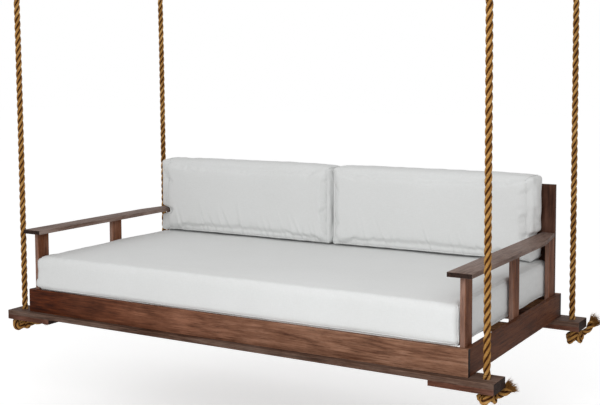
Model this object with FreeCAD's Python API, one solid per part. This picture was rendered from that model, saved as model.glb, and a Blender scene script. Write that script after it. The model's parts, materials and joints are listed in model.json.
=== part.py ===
"""Daybed porch swing: a hardwood bed frame on two hanging beams, with three cushions, four
three-strand ropes and a swing hanger for each rope.

Millimetres.  X runs along the bed, -Y is the front, Z is up.  The origin is the middle of the four
ceiling studs, on the ceiling.  "left" is the -X end, "front" the -Y side."""
import FreeCAD, Part
import math
import os

V = FreeCAD.Vector

# ---- driving sizes ------------------------------------------------------------------------------
BOARD = 19.0              # thickness of every frame board
EASE = 2.0                # rounding of the boards' long edges

MATTRESS_LONG = 1905.0    # a twin mattress
MATTRESS_DEEP = 965.0
MATTRESS_THICK = 150.0
MATTRESS_ROUND = 26.0
MATTRESS_END_GAP = 1.5    # mattress to the posts
MATTRESS_SIDE_GAP = 1.0   # mattress to the front rail and to the back frame

RAIL_HIGH = 96.0          # front, rear and side rails
DECK_SINK = 4.0           # the deck's top lies this far under the rails' top

BEAM_WIDE = 110.0         # hanging beams, front to back
BEAM_OUT = 99.0           # a beam runs this far past the bed's end
BEAM_PROUD = 28.0         # and this far past the front or rear rail
DOUBLER_LONG = 232.0      # second layer under each end of a beam

ARM_TOP = 350.0           # all of these are above the beams' top
ARM_THICK = 17.0
ARM_WIDE = 89.0
ARM_OUT = 15.0            # arm past the side rail's outer face
ARM_FRONT = 9.0           # arm past the front rail's face
ARM_CUT = 215.0           # length of the slanted cut at an arm's outer rear corner
POST_WIDE = 64.0
MIDDLE_POST_SHIFT = 24.0  # middle post's place behind the middle between the other two

BACK_TOP = 548.0
STILE_WIDE = 89.0
TOP_RAIL_HIGH = 89.0
BOTTOM_RAIL_HIGH = 140.0
BACK_SLAT_WIDE = 89.0
BACK_SLATS = 5

LEDGER_HIGH = 40.0
DECK_SLAT_WIDE = 89.0
DECK_SLATS = 10
DECK_SLAT_PITCH = 180.0
DECK_SLAT_GAP = 0.5       # slat's end to the board in front of it or behind it

CUSHION_HIGH = 370.0
CUSHION_THICK = 155.0
CUSHION_LONG = 914.0
CUSHION_ROUND = 40.0
SOFT_GAP = 0.3            # a soft piece to what it lies on

ROPE_D = 25.0
ROPE_FROM_END = 44.0      # rope's centre to the beam's end
ROPE_HOLE_D = 27.0
ROPE_PIVOT_GAP = 0.3      # bottom of the hanging rope to the beam's top
KNOT_D = 88.0
KNOT_HIGH = 58.0
KNOT_SINK = 6.0           # depth by which the knot's top is flattened under the doubler

CEILING_DROP = 1710.0     # ceiling to the beams' top
PIN_DROP = 70.0           # ceiling to the hanger's pin
PIN_D = 16.0
BUSH_D = 40.0
BUSH_FIT = 0.02           # radial, bush on its pin
THIMBLE_FIT = 0.05        # radial, running on the bush
THIMBLE_WALL = 3.0        # under the rope's groove
THIMBLE_FLANGE = 2.7
THIMBLE_RIM = 9.0         # flange above the groove's floor
GROOVE_PLAY = 0.8         # rope to each flange
ROPE_SEAT_GAP = 0.3       # rope to the groove's floor
YOKE_PLAY = 0.5           # thimble to each cheek
CHEEK_THICK = 8.0
CHEEK_WIDE = 46.0
FLANGE_D = 100.0
FLANGE_THICK = 8.0
STUD_D = 12.0             # threaded part, in the ceiling
STUD_SHANK_D = 13.0       # plain part, in the flange
STUD_LONG = 75.0          # above the ceiling
STUD_HEAD_AF = 19.0
STUD_HEAD_HIGH = 7.0
PIN_HEAD_D = 26.0
PIN_HEAD_HIGH = 8.0
NUT_AF = 24.0
NUT_HIGH = 13.0
NUT_FIT = 0.02
PIN_END = 4.0             # pin past its nut

# Rope, seen from the +X side: each point is a place (back, up) from the pin's centre.
EYE_POINTS = [(0.0, -128.0), (-38.1, 2.5), (-27.5, 26.5), (-3.9, 38.0), (21.6, 31.5),
              (36.8, 10.1), (25.6, -126.0), (25.6, -205.0)]
# Rope's tail, from the knot's middle: (outward along the beam, back, up).
RIGHT_TAIL = [(0.0, 0.0, 0.0), (24.0, 74.0, -2.0), (44.0, 76.0, 47.0), (92.0, 80.0, 57.0)]
LEFT_TAIL = [(0.0, 0.0, 0.0), (-52.0, 36.0, 8.0), (-96.0, 60.0, 11.0)]
RUN_SHARE = 0.45          # share of the shorter run beside a corner that its arc may use

# ---- places worked out from them ----------------------------------------------------------------
BEAM_TOP = -CEILING_DROP
BED_LONG = MATTRESS_LONG + 2 * MATTRESS_END_GAP + 4 * BOARD
BED_DEEP = MATTRESS_DEEP + 2 * MATTRESS_SIDE_GAP + 3 * BOARD
BED_END = BED_LONG / 2
BED_FRONT = -BED_DEEP / 2
BED_REAR = BED_DEEP / 2
IN_END = BED_END - BOARD              # inner face of a side rail
IN_FRONT = BED_FRONT + BOARD          # inner face of the front rail
IN_REAR = BED_REAR - BOARD            # inner face of the rear rail
BACK_FACE = IN_REAR - BOARD           # front of the back frame
POST_IN = IN_END - BOARD              # inner face of a post
RAIL_TOP = BEAM_TOP + RAIL_HIGH
DECK_TOP = RAIL_TOP - DECK_SINK
SLAT_BOTTOM = DECK_TOP - BOARD
ARM_BOTTOM = BEAM_TOP + ARM_TOP - ARM_THICK
BEAM_END = BED_END + BEAM_OUT
BEAM_MIDDLE = BED_REAR + BEAM_PROUD - BEAM_WIDE / 2
BEAM_BOTTOM = BEAM_TOP - BOARD
DOUBLER_BOTTOM = BEAM_BOTTOM - BOARD
ROPE_X = BEAM_END - ROPE_FROM_END
ROPE_R = ROPE_D / 2
PIVOT_Z = BEAM_TOP + ROPE_PIVOT_GAP + ROPE_R
PIN_Z = -PIN_DROP
MATTRESS_TOP = DECK_TOP + SOFT_GAP + MATTRESS_THICK
KNOT_Z = DOUBLER_BOTTOM + KNOT_SINK - KNOT_HIGH / 2
THIMBLE_IN = BUSH_D / 2 + THIMBLE_FIT
GROOVE_R = THIMBLE_IN + THIMBLE_WALL
THIMBLE_R = GROOVE_R + THIMBLE_RIM
GROOVE_HALF = ROPE_R + GROOVE_PLAY
THIMBLE_HALF = GROOVE_HALF + THIMBLE_FLANGE
CHEEK_IN = THIMBLE_HALF + YOKE_PLAY
CHEEK_OUT = CHEEK_IN + CHEEK_THICK
CORNERS = [("front_left", -1, -1), ("front_right", 1, -1), ("rear_left", -1, 1), ("rear_right", 1, 1)]


# ---- helpers ------------------------------------------------------------------------------------
def save(name, shape):
    """Write one node's STEP file."""
    shape.exportStep("parts/%s.step" % name)
    print("%-24s %2d solid(s)  %.1f cm3" % (name, len(shape.Solids), shape.Volume / 1000))


def block(x, y, z):
    """A plain box between two places on each axis."""
    low = V(min(x), min(y), min(z))
    return Part.makeBox(max(x) - min(x), max(y) - min(y), max(z) - min(z), low)


def board(x, y, z, along):
    """A board with its four long edges eased; along is 0, 1 or 2 for X, Y or Z."""
    shape = block(x, y, z)
    direction = [V(1, 0, 0), V(0, 1, 0), V(0, 0, 1)][along]
    long_edges = [e for e in shape.Edges if abs(e.tangentAt(e.FirstParameter).dot(direction)) > 0.9]
    return shape.makeFillet(EASE, long_edges)


def cylinder(radius, start, end):
    """A round bar between two points."""
    return Part.makeCylinder(radius, (end - start).Length, start, end - start)


def ring(outer, inner, start, end):
    """A tube between two points."""
    return cylinder(outer, start, end).cut(cylinder(inner, start, end))


def hexagon(across_flats, start, end):
    """A hexagonal prism between two points."""
    axis = (end - start).normalize()
    side = axis.cross(V(0, 1, 0)).normalize()
    corner = side * (across_flats / math.sqrt(3))
    points = []
    for i in range(7):
        turn = FreeCAD.Rotation(axis, 60.0 * i)
        points.append(start + turn.multVec(corner))
    return Part.Face(Part.makePolygon(points)).extrude(end - start)


def cord(points, radius, name):
    """A round tube along straight runs joined by tangent arcs."""
    edges = []
    start = points[0]
    radii = []
    for before, corner, after in zip(points, points[1:], points[2:]):
        back = (before - corner)
        ahead = (after - corner)
        run = min(back.Length, ahead.Length)
        back.normalize()
        ahead.normalize()
        half_turn = (math.pi - back.getAngle(ahead)) / 2
        cut = RUN_SHARE * run
        first = corner + back * cut
        last = corner + ahead * cut
        arc_r = cut / math.tan(half_turn)
        centre = corner + (back + ahead).normalize() * (arc_r / math.cos(half_turn))
        middle = centre + (corner - centre).normalize() * arc_r
        edges.append(Part.makeLine(start, first))
        edges.append(Part.Arc(first, middle, last).toShape())
        radii.append(round(arc_r / (2 * radius), 1))
        start = last
    edges.append(Part.makeLine(start, points[-1]))
    wire = Part.Wire(edges)
    print("%s: length %.1f mm, arc radii in diameters %s" % (name, wire.Length, radii))
    section = Part.Wire([Part.Circle(points[0], points[1] - points[0], radius).toShape()])
    return wire.makePipeShell([section], True, False)


def cushion(x, y, z, radius):
    """A closed soft block with every edge rounded."""
    shape = block(x, y, z)
    return shape.makeFillet(radius, shape.Edges)


# ---- the bed's frame ----------------------------------------------------------------------------
def rails():
    """Front and rear rails cover the side rails' ends; all four stand on the hanging beams."""
    high = (BEAM_TOP, RAIL_TOP)
    save("front_rail", board((-BED_END, BED_END), (BED_FRONT, IN_FRONT), high, 0))
    save("rear_rail", board((-BED_END, BED_END), (IN_REAR, BED_REAR), high, 0))
    for side, sign in (("left", -1), ("right", 1)):
        across = (sign * IN_END, sign * BED_END)
        save(side + "_side_rail", board(across, (IN_FRONT, IN_REAR), high, 1))


def rope_hole(sign, middle):
    """The hole that a rope goes down through, in a beam and its doubler."""
    return cylinder(ROPE_HOLE_D / 2, V(sign * ROPE_X, middle, DOUBLER_BOTTOM - 1),
                    V(sign * ROPE_X, middle, BEAM_TOP + 1))


def beams():
    """Two planks across under the bed, each doubled at its ends where the ropes go through."""
    for place, back in (("front", -1), ("rear", 1)):
        middle = back * BEAM_MIDDLE
        wide = (middle - BEAM_WIDE / 2, middle + BEAM_WIDE / 2)
        beam = board((-BEAM_END, BEAM_END), wide, (BEAM_BOTTOM, BEAM_TOP), 0)
        for side, sign in (("left", -1), ("right", 1)):
            hole = rope_hole(sign, middle)
            beam = beam.cut(hole)
            along = (sign * (BEAM_END - DOUBLER_LONG), sign * BEAM_END)
            doubler = board(along, wide, (DOUBLER_BOTTOM, BEAM_BOTTOM), 0)
            save("%s_%s_doubler" % (place, side), doubler.cut(hole))
        save(place + "_beam", beam)


def deck():
    """Slats from front to back, on a ledger at each end and a joist along the middle."""
    high = (SLAT_BOTTOM - LEDGER_HIGH, SLAT_BOTTOM)
    between_posts = (-POST_IN, POST_IN)
    save("front_ledger", board(between_posts, (IN_FRONT, IN_FRONT + BOARD), high, 0))
    save("rear_ledger", board(between_posts, (BACK_FACE - BOARD, BACK_FACE), high, 0))
    save("centre_joist", board(between_posts, (-BOARD / 2, BOARD / 2), high, 0))
    first = -DECK_SLAT_PITCH * (DECK_SLATS - 1) / 2
    reach = (IN_FRONT + DECK_SLAT_GAP, BACK_FACE - DECK_SLAT_GAP)
    for i in range(DECK_SLATS):
        x = first + i * DECK_SLAT_PITCH
        across = (x - DECK_SLAT_WIDE / 2, x + DECK_SLAT_WIDE / 2)
        save("deck_slat_%02d" % (i + 1), board(across, reach, (SLAT_BOTTOM, DECK_TOP), 1))


def arms():
    """Three posts inside each side rail, and a flat arm on them that ends at the back frame."""
    front_y = IN_FRONT
    rear_y = BACK_FACE - POST_WIDE
    middle_y = (front_y + rear_y) / 2 + MIDDLE_POST_SHIFT
    for side, sign in (("left", -1), ("right", 1)):
        for place, y in (("front", front_y), ("middle", middle_y), ("rear", rear_y)):
            post = board((sign * POST_IN, sign * IN_END), (y, y + POST_WIDE), (BEAM_TOP, ARM_BOTTOM), 2)
            save("%s_%s_post" % (side, place), post)
        out = sign * (BED_END + ARM_OUT)
        inner = out - sign * ARM_WIDE
        start = BED_FRONT - ARM_FRONT
        outline = [V(out, start, ARM_BOTTOM), V(out, BACK_FACE - ARM_CUT, ARM_BOTTOM),
                   V(sign * IN_END, BACK_FACE, ARM_BOTTOM), V(inner, BACK_FACE, ARM_BOTTOM),
                   V(inner, start, ARM_BOTTOM)]
        face = Part.Face(Part.makePolygon(outline + outline[:1]))
        arm = face.extrude(V(0, 0, ARM_THICK))
        arm = arm.makeFillet(EASE, [e for e in arm.Edges if e.BoundBox.ZLength < 0.1])
        save(side + "_arm", arm)


def back():
    """Stiles at the ends, a top and a bottom rail between them, and slats between the rails."""
    deep = (BACK_FACE, IN_REAR)
    top = BEAM_TOP + BACK_TOP
    low_rail_top = BEAM_TOP + BOTTOM_RAIL_HIGH
    inside = IN_END - STILE_WIDE
    for side, sign in (("left", -1), ("right", 1)):
        stile = board((sign * inside, sign * IN_END), deep, (BEAM_TOP, top), 2)
        save(side + "_back_stile", stile)
    save("back_top_rail", board((-inside, inside), deep, (top - TOP_RAIL_HIGH, top), 0))
    save("back_bottom_rail", board((-inside, inside), deep, (BEAM_TOP, low_rail_top), 0))
    pitch = 2 * inside / (BACK_SLATS + 1)
    for i in range(BACK_SLATS):
        x = -inside + (i + 1) * pitch
        across = (x - BACK_SLAT_WIDE / 2, x + BACK_SLAT_WIDE / 2)
        slat = board(across, deep, (low_rail_top, top - TOP_RAIL_HIGH), 2)
        save("back_slat_%d" % (i + 1), slat)


def cushions():
    """The mattress on the deck, and two back cushions on it against the back frame."""
    half = MATTRESS_LONG / 2
    front = IN_FRONT + MATTRESS_SIDE_GAP
    save("mattress", cushion((-half, half), (front, front + MATTRESS_DEEP),
                             (DECK_TOP + SOFT_GAP, MATTRESS_TOP), MATTRESS_ROUND))
    low = MATTRESS_TOP + SOFT_GAP
    rear = BACK_FACE - SOFT_GAP
    for side, sign in (("left", -1), ("right", 1)):
        across = (sign * SOFT_GAP, sign * (SOFT_GAP + CUSHION_LONG))
        save(side + "_back_cushion", cushion(across, (rear - CUSHION_THICK, rear),
                                             (low, low + CUSHION_HIGH), CUSHION_ROUND))


# ---- ropes and hangers --------------------------------------------------------------------------
def knot(x, middle, tail, name):
    """A stub through the beam, the knot that bears on the doubler, and the rope's tail."""
    centre = V(x, middle, KNOT_Z)
    lump = Part.makeSphere(KNOT_D / 2)
    squash = FreeCAD.Matrix()
    squash.scale(1.0, 1.0, KNOT_HIGH / KNOT_D)
    lump = lump.transformGeometry(squash)
    lump.translate(centre)
    above = block((x - KNOT_D, x + KNOT_D), (middle - KNOT_D, middle + KNOT_D),
                  (DOUBLER_BOTTOM, BEAM_TOP))
    lump = lump.cut(above)
    stub = cylinder(ROPE_R, centre, V(x, middle, BEAM_TOP))
    sign = math.copysign(1, x)
    end = cord([centre + V(sign * out, deep, up) for out, deep, up in tail], ROPE_R, name + " tail")
    return lump.fuse([stub, end]).removeSplitter()


def ropes():
    """Each rope hangs from its thimble, in an eye, and goes down to its beam."""
    for name, sign, back in CORNERS:
        x = sign * ROPE_X
        middle = back * BEAM_MIDDLE
        line = [V(x, middle, PIVOT_Z)]
        for deep, up in EYE_POINTS:
            line.append(V(x, middle + deep, PIN_Z + up))
        tube = cord(line, ROPE_R, name + " rope")
        end = Part.makeSphere(ROPE_R, V(x, middle, PIVOT_Z), V(0, 0, 1), -90, 0, 360)
        save(name + "_rope", tube.fuse(end).removeSplitter())
        tail = RIGHT_TAIL if sign > 0 else LEFT_TAIL
        save(name + "_knot", knot(x, middle, tail, name))
        save(name + "_thimble", thimble(x, middle))


def along_x(x, middle, start, end):
    """Two points on a hanger's pin axis."""
    return V(x + start, middle, PIN_Z), V(x + end, middle, PIN_Z)


def thimble(x, middle):
    """A grooved ring that the rope's eye lies on."""
    body = ring(THIMBLE_R, THIMBLE_IN, *along_x(x, middle, -THIMBLE_HALF, THIMBLE_HALF))
    groove = ring(THIMBLE_R + 1, GROOVE_R, *along_x(x, middle, -GROOVE_HALF, GROOVE_HALF))
    return body.cut(groove)


def yoke(x, middle):
    """A round flange with two cheeks that hold the pin."""
    body = cylinder(FLANGE_D / 2, V(x, middle, -FLANGE_THICK), V(x, middle, 0))
    for sign in (-1, 1):
        across = (x + sign * CHEEK_IN, x + sign * CHEEK_OUT)
        plate = block(across, (middle - CHEEK_WIDE / 2, middle + CHEEK_WIDE / 2), (PIN_Z, -FLANGE_THICK))
        nose = cylinder(CHEEK_WIDE / 2, *along_x(x, middle, sign * CHEEK_IN, sign * CHEEK_OUT))
        body = body.fuse([plate, nose])
    body = body.cut(cylinder(PIN_D / 2, *along_x(x, middle, -CHEEK_OUT - 1, CHEEK_OUT + 1)))
    body = body.cut(cylinder(STUD_SHANK_D / 2, V(x, middle, -FLANGE_THICK - 1), V(x, middle, 1)))
    return body.removeSplitter()


def stud(x, middle):
    """A lag bolt up through the flange into the ceiling."""
    tip = STUD_D
    shank = cylinder(STUD_SHANK_D / 2, V(x, middle, -FLANGE_THICK), V(x, middle, 0))
    thread = cylinder(STUD_D / 2, V(x, middle, 0), V(x, middle, STUD_LONG - tip))
    point = Part.makeCone(STUD_D / 2, 1.0, tip, V(x, middle, STUD_LONG - tip))
    under = -FLANGE_THICK - STUD_HEAD_HIGH
    head = hexagon(STUD_HEAD_AF, V(x, middle, under), V(x, middle, -FLANGE_THICK))
    return head.fuse([shank, thread, point])


def pin(x, middle):
    """The bolt through both cheeks, with its head at the bed's end side."""
    out = math.copysign(1, x)
    shank = cylinder(PIN_D / 2, *along_x(x, middle, out * CHEEK_OUT, -out * (CHEEK_OUT + NUT_HIGH + PIN_END)))
    head = cylinder(PIN_HEAD_D / 2, *along_x(x, middle, out * CHEEK_OUT, out * (CHEEK_OUT + PIN_HEAD_HIGH)))
    return shank.fuse(head).removeSplitter()


def nut(x, middle):
    """The nut on the pin's inner end."""
    out = math.copysign(1, x)
    start, end = along_x(x, middle, -out * CHEEK_OUT, -out * (CHEEK_OUT + NUT_HIGH))
    body = hexagon(NUT_AF, start, end)
    return body.cut(cylinder(PIN_D / 2 + NUT_FIT, start, end))


def bush(x, middle):
    """The sleeve on the pin that the thimble turns on."""
    return ring(BUSH_D / 2, PIN_D / 2 + BUSH_FIT, *along_x(x, middle, -THIMBLE_HALF, THIMBLE_HALF))


def hangers():
    """The four hangers; the pieces of a kind are one node."""
    kinds = (("hanger_yokes", yoke), ("hanger_studs", stud), ("hanger_pins", pin),
             ("hanger_nuts", nut), ("hanger_bushes", bush))
    for name, make in kinds:
        pieces = [make(sign * ROPE_X, back * BEAM_MIDDLE) for corner, sign, back in CORNERS]
        save(name, Part.makeCompound(pieces))


def main():
    """Write every node."""
    os.makedirs("parts", exist_ok=True)
    rails()
    beams()
    deck()
    arms()
    back()
    cushions()
    ropes()
    hangers()


main()
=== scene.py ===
"""Daybed porch swing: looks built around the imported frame.  Metres.

X runs along the bed, -Y is the front, Z is up, and the origin is the middle of the four ceiling studs."""
import bpy
import bmesh
import json
import math
import numpy as np
from mathutils import Matrix, Vector, noise
from mathutils.bvhtree import BVHTree
from mathutils.kdtree import KDTree


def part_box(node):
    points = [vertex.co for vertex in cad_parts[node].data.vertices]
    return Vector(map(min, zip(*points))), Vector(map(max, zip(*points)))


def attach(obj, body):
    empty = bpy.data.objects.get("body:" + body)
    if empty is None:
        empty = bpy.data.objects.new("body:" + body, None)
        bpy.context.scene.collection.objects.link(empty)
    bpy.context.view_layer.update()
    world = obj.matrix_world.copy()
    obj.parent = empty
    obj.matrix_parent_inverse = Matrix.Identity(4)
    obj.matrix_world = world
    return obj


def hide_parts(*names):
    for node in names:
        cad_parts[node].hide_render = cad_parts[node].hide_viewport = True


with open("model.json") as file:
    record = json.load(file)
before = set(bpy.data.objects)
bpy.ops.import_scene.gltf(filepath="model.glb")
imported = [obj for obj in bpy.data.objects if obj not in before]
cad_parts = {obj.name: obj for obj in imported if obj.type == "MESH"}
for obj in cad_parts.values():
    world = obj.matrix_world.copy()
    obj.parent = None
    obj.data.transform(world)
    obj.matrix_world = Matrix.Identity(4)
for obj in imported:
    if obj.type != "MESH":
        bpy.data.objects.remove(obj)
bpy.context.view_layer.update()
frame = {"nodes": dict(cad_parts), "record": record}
nodes = frame["nodes"]

CORNERS = {"front_left": -1, "front_right": 1, "rear_left": -1, "rear_right": 1}


def add_object(name, data):
    """A new object in the scene."""
    made = bpy.data.objects.new(name, data)
    bpy.context.scene.collection.objects.link(made)
    return made


def mesh_object(name, corners, faces):
    """A new smooth mesh object from its corners and faces."""
    mesh = bpy.data.meshes.new(name)
    mesh.from_pydata(corners, [], faces)
    mesh.polygons.foreach_set("use_smooth", [True] * len(mesh.polygons))
    return add_object(name, mesh)


def add_groove(mesh, values):
    """Gives each point of a rope's mesh its groove value: 0 deep between the strands, 1 outside; the manila
    material paints shade from it.
    """
    groove = mesh.attributes.new("groove", "FLOAT", "POINT")
    groove.data.foreach_set("value", np.array(values, np.float32))


# ---- camera -------------------------------------------------------------------------------------
CAMERA_PLACE = Vector((2.263, -3.725, -0.700))
CAMERA_TURN = 0.5359          # to the left of straight ahead, radians
CAMERA_DIP = 0.0736           # below level
CAMERA_ROLL = -0.0041
CAMERA_LENS = 63.2
CAMERA_SHIFT = (-0.0018, -0.0878)


def make_camera():
    """The camera in front of the bed's right end, a little above the arms."""
    data = bpy.data.cameras.new("camera")
    data.lens = CAMERA_LENS
    data.sensor_width = 36.0
    data.shift_x, data.shift_y = CAMERA_SHIFT
    camera = add_object("camera", data)
    turn = Matrix.Rotation(CAMERA_TURN, 4, "Z")
    tilt = Matrix.Rotation(math.pi / 2 - CAMERA_DIP, 4, "X")
    roll = Matrix.Rotation(CAMERA_ROLL, 4, "Z")
    camera.matrix_world = Matrix.Translation(CAMERA_PLACE) @ turn @ tilt @ roll
    bpy.context.scene.camera = camera


# ---- shader building ----------------------------------------------------------------------------
class Shader:
    """Short calls for building a node tree."""

    def __init__(self, tree):
        self.tree = tree

    def node(self, kind, inputs=None, **settings):
        made = self.tree.nodes.new(kind)
        for key, value in settings.items():
            setattr(made, key, value)
        for key, value in (inputs or {}).items():
            self.feed(made.inputs[key], value)
        return made

    def feed(self, socket, value):
        if isinstance(value, bpy.types.NodeSocket):
            self.tree.links.new(value, socket)
        else:
            socket.default_value = value

    def math(self, operation, a, b=0.0):
        made = self.node("ShaderNodeMath", operation=operation)
        self.feed(made.inputs[0], a)
        self.feed(made.inputs[1], b)
        return made.outputs[0]

    def add(self, a, b):
        return self.math("ADD", a, b)

    def times(self, a, b):
        return self.math("MULTIPLY", a, b)

    def remap(self, value, start, end, low=0.0, high=1.0):
        made = self.node("ShaderNodeMapRange", {"Value": value, "From Min": start, "From Max": end,
                                                "To Min": low, "To Max": high})
        return made.outputs[0]

    def grey(self, value):
        made = self.node("ShaderNodeCombineColor", {"Red": value, "Green": value, "Blue": value})
        return made.outputs[0]

    def object_place(self):
        return self.node("ShaderNodeTexCoord").outputs["Object"]

    def vector(self, operation, a, b):
        made = self.node("ShaderNodeVectorMath", operation=operation)
        self.feed(made.inputs[0], a)
        self.feed(made.inputs[1], b)
        return made.outputs[0]

    def ramp(self, fac, stops):
        made = self.node("ShaderNodeValToRGB", {"Fac": fac})
        bar = made.color_ramp
        while len(bar.elements) < len(stops):
            bar.elements.new(0.5)
        for element, (place, tone) in zip(bar.elements, stops):
            element.position = place
            element.color = tone if len(tone) == 4 else (*tone, 1.0)
        return made.outputs["Color"]

    def blend(self, fac, a, b, way="MIX"):
        made = self.node("ShaderNodeMix", data_type="RGBA", blend_type=way)
        self.feed(made.inputs[0], fac)
        self.feed(made.inputs[6], a)
        self.feed(made.inputs[7], b)
        return made.outputs[2]

    def noise(self, vector, scale, detail=4.0, rough=0.55, distort=0.0):
        made = self.node("ShaderNodeTexNoise", {"Vector": vector, "Scale": scale, "Detail": detail,
                                                "Roughness": rough, "Distortion": distort})
        return made.outputs[0]

    def stretched(self, vector, scale):
        made = self.node("ShaderNodeMapping", {"Vector": vector, "Scale": scale})
        return made.outputs[0]


def new_group(name, inputs, outputs):
    """An empty shader group with its sockets, and the nodes that carry them."""
    tree = bpy.data.node_groups.new(name, "ShaderNodeTree")
    for label, kind, value in inputs:
        socket = tree.interface.new_socket(label, in_out="INPUT", socket_type=kind)
        if value is not None:
            socket.default_value = value
    for label, kind in outputs:
        tree.interface.new_socket(label, in_out="OUTPUT", socket_type=kind)
    build = Shader(tree)
    return build, build.node("NodeGroupInput"), build.node("NodeGroupOutput")


def new_material(name):
    """A material with its Principled shader."""
    material = bpy.data.materials.new(name)
    material.use_nodes = True
    build = Shader(material.node_tree)
    return material, build, material.node_tree.nodes["Principled BSDF"]


def add_group(build, group, inputs):
    made = build.node("ShaderNodeGroup", node_tree=group)
    for key, value in inputs.items():
        build.feed(made.inputs[key], value)
    return made


def add_bump(build, shader, height, strength, distance):
    bump = build.node("ShaderNodeBump", {"Height": height, "Strength": strength, "Distance": distance})
    build.feed(shader.inputs["Normal"], bump.outputs[0])


# ---- wood ---------------------------------------------------------------------------------------
def board_figure():
    """Grain along the first axis of its Vector: streaks, faint arches, pores, dull patches, end grain with
    painted shade on it, and painted light on the posts' front and back faces.
    """
    build, given, out = new_group(
        "board_figure",
        [("Vector", "NodeSocketVector", None), ("End", "NodeSocketFloat", 0.0),
         ("Worn", "NodeSocketFloat", 0.0), ("Face", "NodeSocketFloat", 0.0),
         ("Dark", "NodeSocketColor", (0.03, 0.012, 0.006, 1)),
         ("Mid", "NodeSocketColor", (0.12, 0.05, 0.025, 1)),
         ("Light", "NodeSocketColor", (0.25, 0.12, 0.06, 1)),
         ("Grey", "NodeSocketColor", (0.16, 0.12, 0.10, 1)),
         ("Dull", "NodeSocketFloat", 0.3)],
        [("Color", "NodeSocketColor"), ("Roughness", "NodeSocketFloat"), ("Height", "NodeSocketFloat")])
    place = given.outputs["Vector"]
    arches = build.noise(build.stretched(place, (0.9, 9.0, 9.0)), 1.6, 3.0, 0.5, 0.8)
    rings = build.math("FRACT", build.times(arches, 7.0))
    soft_rings = build.math("PINGPONG", rings, 0.5)
    streaks = build.noise(build.stretched(place, (2.6, 60.0, 60.0)), 2.0, 6.0, 0.7)
    flecks = build.noise(build.stretched(place, (11.0, 90.0, 90.0)), 1.0, 4.0, 0.65)
    pores = build.noise(build.stretched(place, (16.0, 420.0, 420.0)), 1.0, 3.0, 0.7)
    patches = build.noise(build.stretched(place, (2.4, 6.0, 6.0)), 1.5, 5.0, 0.65)
    tone = build.add(build.times(streaks, 0.62), build.times(soft_rings, 0.22))
    tone = build.add(tone, build.times(flecks, 0.26))
    tone = build.add(tone, build.times(build.math("SUBTRACT", patches, 0.5), 0.75))
    dark_half = build.remap(tone, 0.27, 0.50)
    light_half = build.remap(tone, 0.50, 0.80)
    colour = build.blend(dark_half, given.outputs["Dark"], given.outputs["Mid"])
    colour = build.blend(light_half, colour, given.outputs["Light"])
    # Weathered dull patches take the grey tone; the amount fed in for the posts' front and back faces adds
    # painted light, making those faces lighter and greyer than the side faces.
    dull = build.remap(patches, 0.40, 0.70)
    dull = build.times(build.add(dull, given.outputs["Face"]),
                      given.outputs["Dull"])
    lit = build.grey(build.add(build.times(streaks, 1.5), 0.25))
    grey = build.blend(1.0, given.outputs["Grey"], lit, "MULTIPLY")
    colour = build.blend(dull, colour, grey)
    pore_line = build.remap(pores, 0.36, 0.47)
    shade = build.grey(build.add(build.times(pore_line, 0.45), 0.55))
    colour = build.blend(1.0, colour, shade, "MULTIPLY")
    worn = build.times(given.outputs["Worn"], build.times(flecks, 1.1))
    colour = build.blend(worn, colour, given.outputs["Light"])
    # End faces: the end grain's own darker tone, deepened almost to black with painted shade.
    end_rings = build.noise(build.stretched(place, (1.0, 130.0, 130.0)), 1.0, 3.0, 0.6)
    end_grain_and_painted_shade = build.ramp(end_rings, [(0.3, (0.010, 0.005, 0.004)), (0.7, (0.045, 0.024, 0.018))])
    colour = build.blend(given.outputs["End"], colour, end_grain_and_painted_shade)
    rough = build.add(build.times(patches, 0.35), 0.38)
    rough = build.add(rough, build.times(given.outputs["Worn"], 0.15))
    height = build.add(build.times(pore_line, 0.7),
                        build.times(streaks, 0.4))
    build.feed(out.inputs["Color"], colour)
    build.feed(out.inputs["Roughness"], rough)
    build.feed(out.inputs["Height"], height)
    return build.tree


def edge_wear():
    """One at a board's edges, falling to nothing a few millimetres in, and broken up along them."""
    build, given, out = new_group(
        "edge_wear",
        [("Place", "NodeSocketVector", None), ("Low", "NodeSocketVector", (0, 0, 0)),
         ("High", "NodeSocketVector", (1, 1, 1)), ("Width", "NodeSocketFloat", 0.003)],
        [("Mask", "NodeSocketFloat")])
    place = given.outputs["Place"]
    from_low = build.vector("SUBTRACT", place, given.outputs["Low"])
    from_high = build.vector("SUBTRACT", given.outputs["High"], place)
    nearest = build.vector("MINIMUM", from_low, from_high)
    gap = build.node("ShaderNodeSeparateXYZ", {"Vector": nearest}).outputs
    near = build.math("MINIMUM", gap[0], gap[1])
    far = build.math("MAXIMUM", gap[0], gap[1])
    second = build.math("MAXIMUM", near, build.math("MINIMUM", far, gap[2]))
    edge = build.remap(second, 0.0, given.outputs["Width"], 1.0, 0.0)
    broken = build.remap(build.noise(place, 38.0, 4.0, 0.65), 0.38, 0.62)
    build.feed(out.inputs["Mask"], build.times(edge, broken))
    return build.tree
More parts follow.
